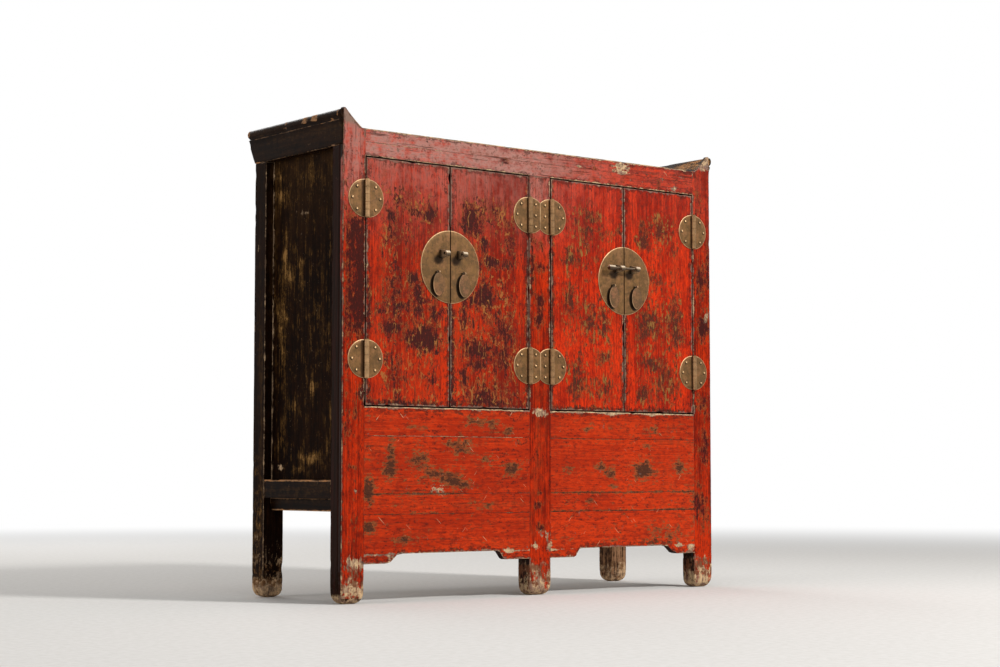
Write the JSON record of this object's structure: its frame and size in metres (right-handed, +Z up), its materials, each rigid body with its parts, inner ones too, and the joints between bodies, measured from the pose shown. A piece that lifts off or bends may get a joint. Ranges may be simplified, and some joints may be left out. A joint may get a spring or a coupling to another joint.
{
  "type": "chinese wedding cabinet",
  "caption": "Low lacquered cabinet with hinged double doors, raised end flanges, round brass hinges and lock plates, a sliding lock pin and lift-out floor lids over a hidden compartment.",
  "frame": {"origin": "middle of the whole cabinet's bounding box in X and Y, on the floor that its feet stand on", "axes": "+X to the right of someone facing the doors, +Y from the doors to the back, +Z up"},
  "size_m": [1.272, 0.464, 1.212],
  "materials": {
    "red_lacquer": "worn vermilion lacquer over wood, satin, crackled and rubbed through at the edges",
    "black_lacquer": "worn black-brown lacquer over wood, satin",
    "bare_wood": "unfinished aged softwood, matt",
    "brass_plate": "antique satin brass with a mottled patina",
    "dark_bronze": "darkened brass with rubbed, bright tips"
  },
  "bodies": {
    "carcass": {"front_left_post": "red_lacquer", "front_right_post": "red_lacquer", "front_centre_post": "red_lacquer", "back_left_post": "black_lacquer", "back_right_post": "black_lacquer", "top_board": "red_lacquer", "left_end_flange": "black_lacquer", "right_end_flange": "black_lacquer", "front_top_rail": "red_lacquer", "back_top_rail": "bare_wood", "back_lower_rails": "bare_wood", "door_sills": "red_lacquer", "lower_front_boards": "red_lacquer", "front_aprons": "red_lacquer", "left_side_panel": "black_lacquer", "right_side_panel": "black_lacquer", "left_side_rail": "black_lacquer", "right_side_rail": "black_lacquer", "bottom_side_rails": "black_lacquer", "back_boards": "bare_wood", "floor_boards": "bare_wood", "inner_shelf": "bare_wood", "inner_bearers": "bare_wood", "compartment_bottom": "bare_wood", "frame_hinge_leaves": "brass_plate", "hinge_pins": "brass_plate", "frame_hinge_nails": "brass_plate"},
    "left_outer_door": {"left_outer_door_board": "red_lacquer", "left_outer_door_battens": "bare_wood", "left_outer_hinge_leaves": "brass_plate", "left_outer_hinge_nails": "brass_plate", "left_outer_lock_plate": "brass_plate", "left_outer_lock_fittings": "dark_bronze"},
    "left_inner_door": {"left_inner_door_board": "red_lacquer", "left_inner_door_battens": "bare_wood", "left_inner_hinge_leaves": "brass_plate", "left_inner_hinge_nails": "brass_plate", "left_inner_lock_plate": "brass_plate", "left_inner_lock_fittings": "dark_bronze"},
    "right_inner_door": {"right_inner_door_board": "red_lacquer", "right_inner_door_battens": "bare_wood", "right_inner_hinge_leaves": "brass_plate", "right_inner_hinge_nails": "brass_plate", "right_inner_lock_plate": "brass_plate", "right_inner_lock_fittings": "dark_bronze"},
    "right_outer_door": {"right_outer_door_board": "red_lacquer", "right_outer_door_battens": "bare_wood", "right_outer_hinge_leaves": "brass_plate", "right_outer_hinge_nails": "brass_plate", "right_outer_lock_plate": "brass_plate", "right_outer_lock_fittings": "dark_bronze"},
    "left_outer_pendant": {"left_outer_pull_pendant": "brass_plate"},
    "left_inner_pendant": {"left_inner_pull_pendant": "brass_plate"},
    "right_inner_pendant": {"right_inner_pull_pendant": "brass_plate"},
    "right_outer_pendant": {"right_outer_pull_pendant": "brass_plate"},
    "lock_pin": {"lock_pin": "dark_bronze"},
    "left_floor_lid": {"left_floor_lid": "bare_wood"},
    "right_floor_lid": {"right_floor_lid": "bare_wood"}
  },
  "joints": [
    {"name": "left_outer_door_hinge", "type": "hinge", "parent": "carcass", "child": "left_outer_door", "pos_m": [-0.5575, -0.2064, 0.794], "axis": [0, 0, -1], "range_deg": [0, 170]},
    {"name": "left_inner_door_hinge", "type": "hinge", "parent": "carcass", "child": "left_inner_door", "pos_m": [-0.037, -0.2064, 0.794], "axis": [0, 0, 1], "range_deg": [0, 90]},
    {"name": "right_inner_door_hinge", "type": "hinge", "parent": "carcass", "child": "right_inner_door", "pos_m": [0.037, -0.2064, 0.794], "axis": [0, 0, -1], "range_deg": [0, 90]},
    {"name": "right_outer_door_hinge", "type": "hinge", "parent": "carcass", "child": "right_outer_door", "pos_m": [0.5575, -0.2064, 0.794], "axis": [0, 0, 1], "range_deg": [0, 170]},
    {"name": "left_outer_pendant_swing", "type": "hinge", "parent": "left_outer_door", "child": "left_outer_pendant", "pos_m": [-0.33825, -0.2075, 0.824], "axis": [-1, 0, 0], "range_deg": [0, 90]},
    {"name": "left_inner_pendant_swing", "type": "hinge", "parent": "left_inner_door", "child": "left_inner_pendant", "pos_m": [-0.25625, -0.2075, 0.824], "axis": [-1, 0, 0], "range_deg": [0, 90]},
    {"name": "right_inner_pendant_swing", "type": "hinge", "parent": "right_inner_door", "child": "right_inner_pendant", "pos_m": [0.25625, -0.2075, 0.824], "axis": [1, 0, 0], "range_deg": [-90, 0]},
    {"name": "right_outer_pendant_swing", "type": "hinge", "parent": "right_outer_door", "child": "right_outer_pendant", "pos_m": [0.33825, -0.2075, 0.824], "axis": [1, 0, 0], "range_deg": [-90, 0]},
    {"name": "lock_pin_slide", "type": "slide", "parent": "right_inner_door", "child": "lock_pin", "axis": [1, 0, 0], "range_m": [-0.0574, 0.0166]},
    {"name": "left_floor_lid_lift", "type": "slide", "parent": "carcass", "child": "left_floor_lid", "axis": [0, 0, 1], "range_m": [0, 0.15]},
    {"name": "right_floor_lid_lift", "type": "slide", "parent": "carcass", "child": "right_floor_lid", "axis": [0, 0, 1], "range_m": [0, 0.15]}
  ]
}
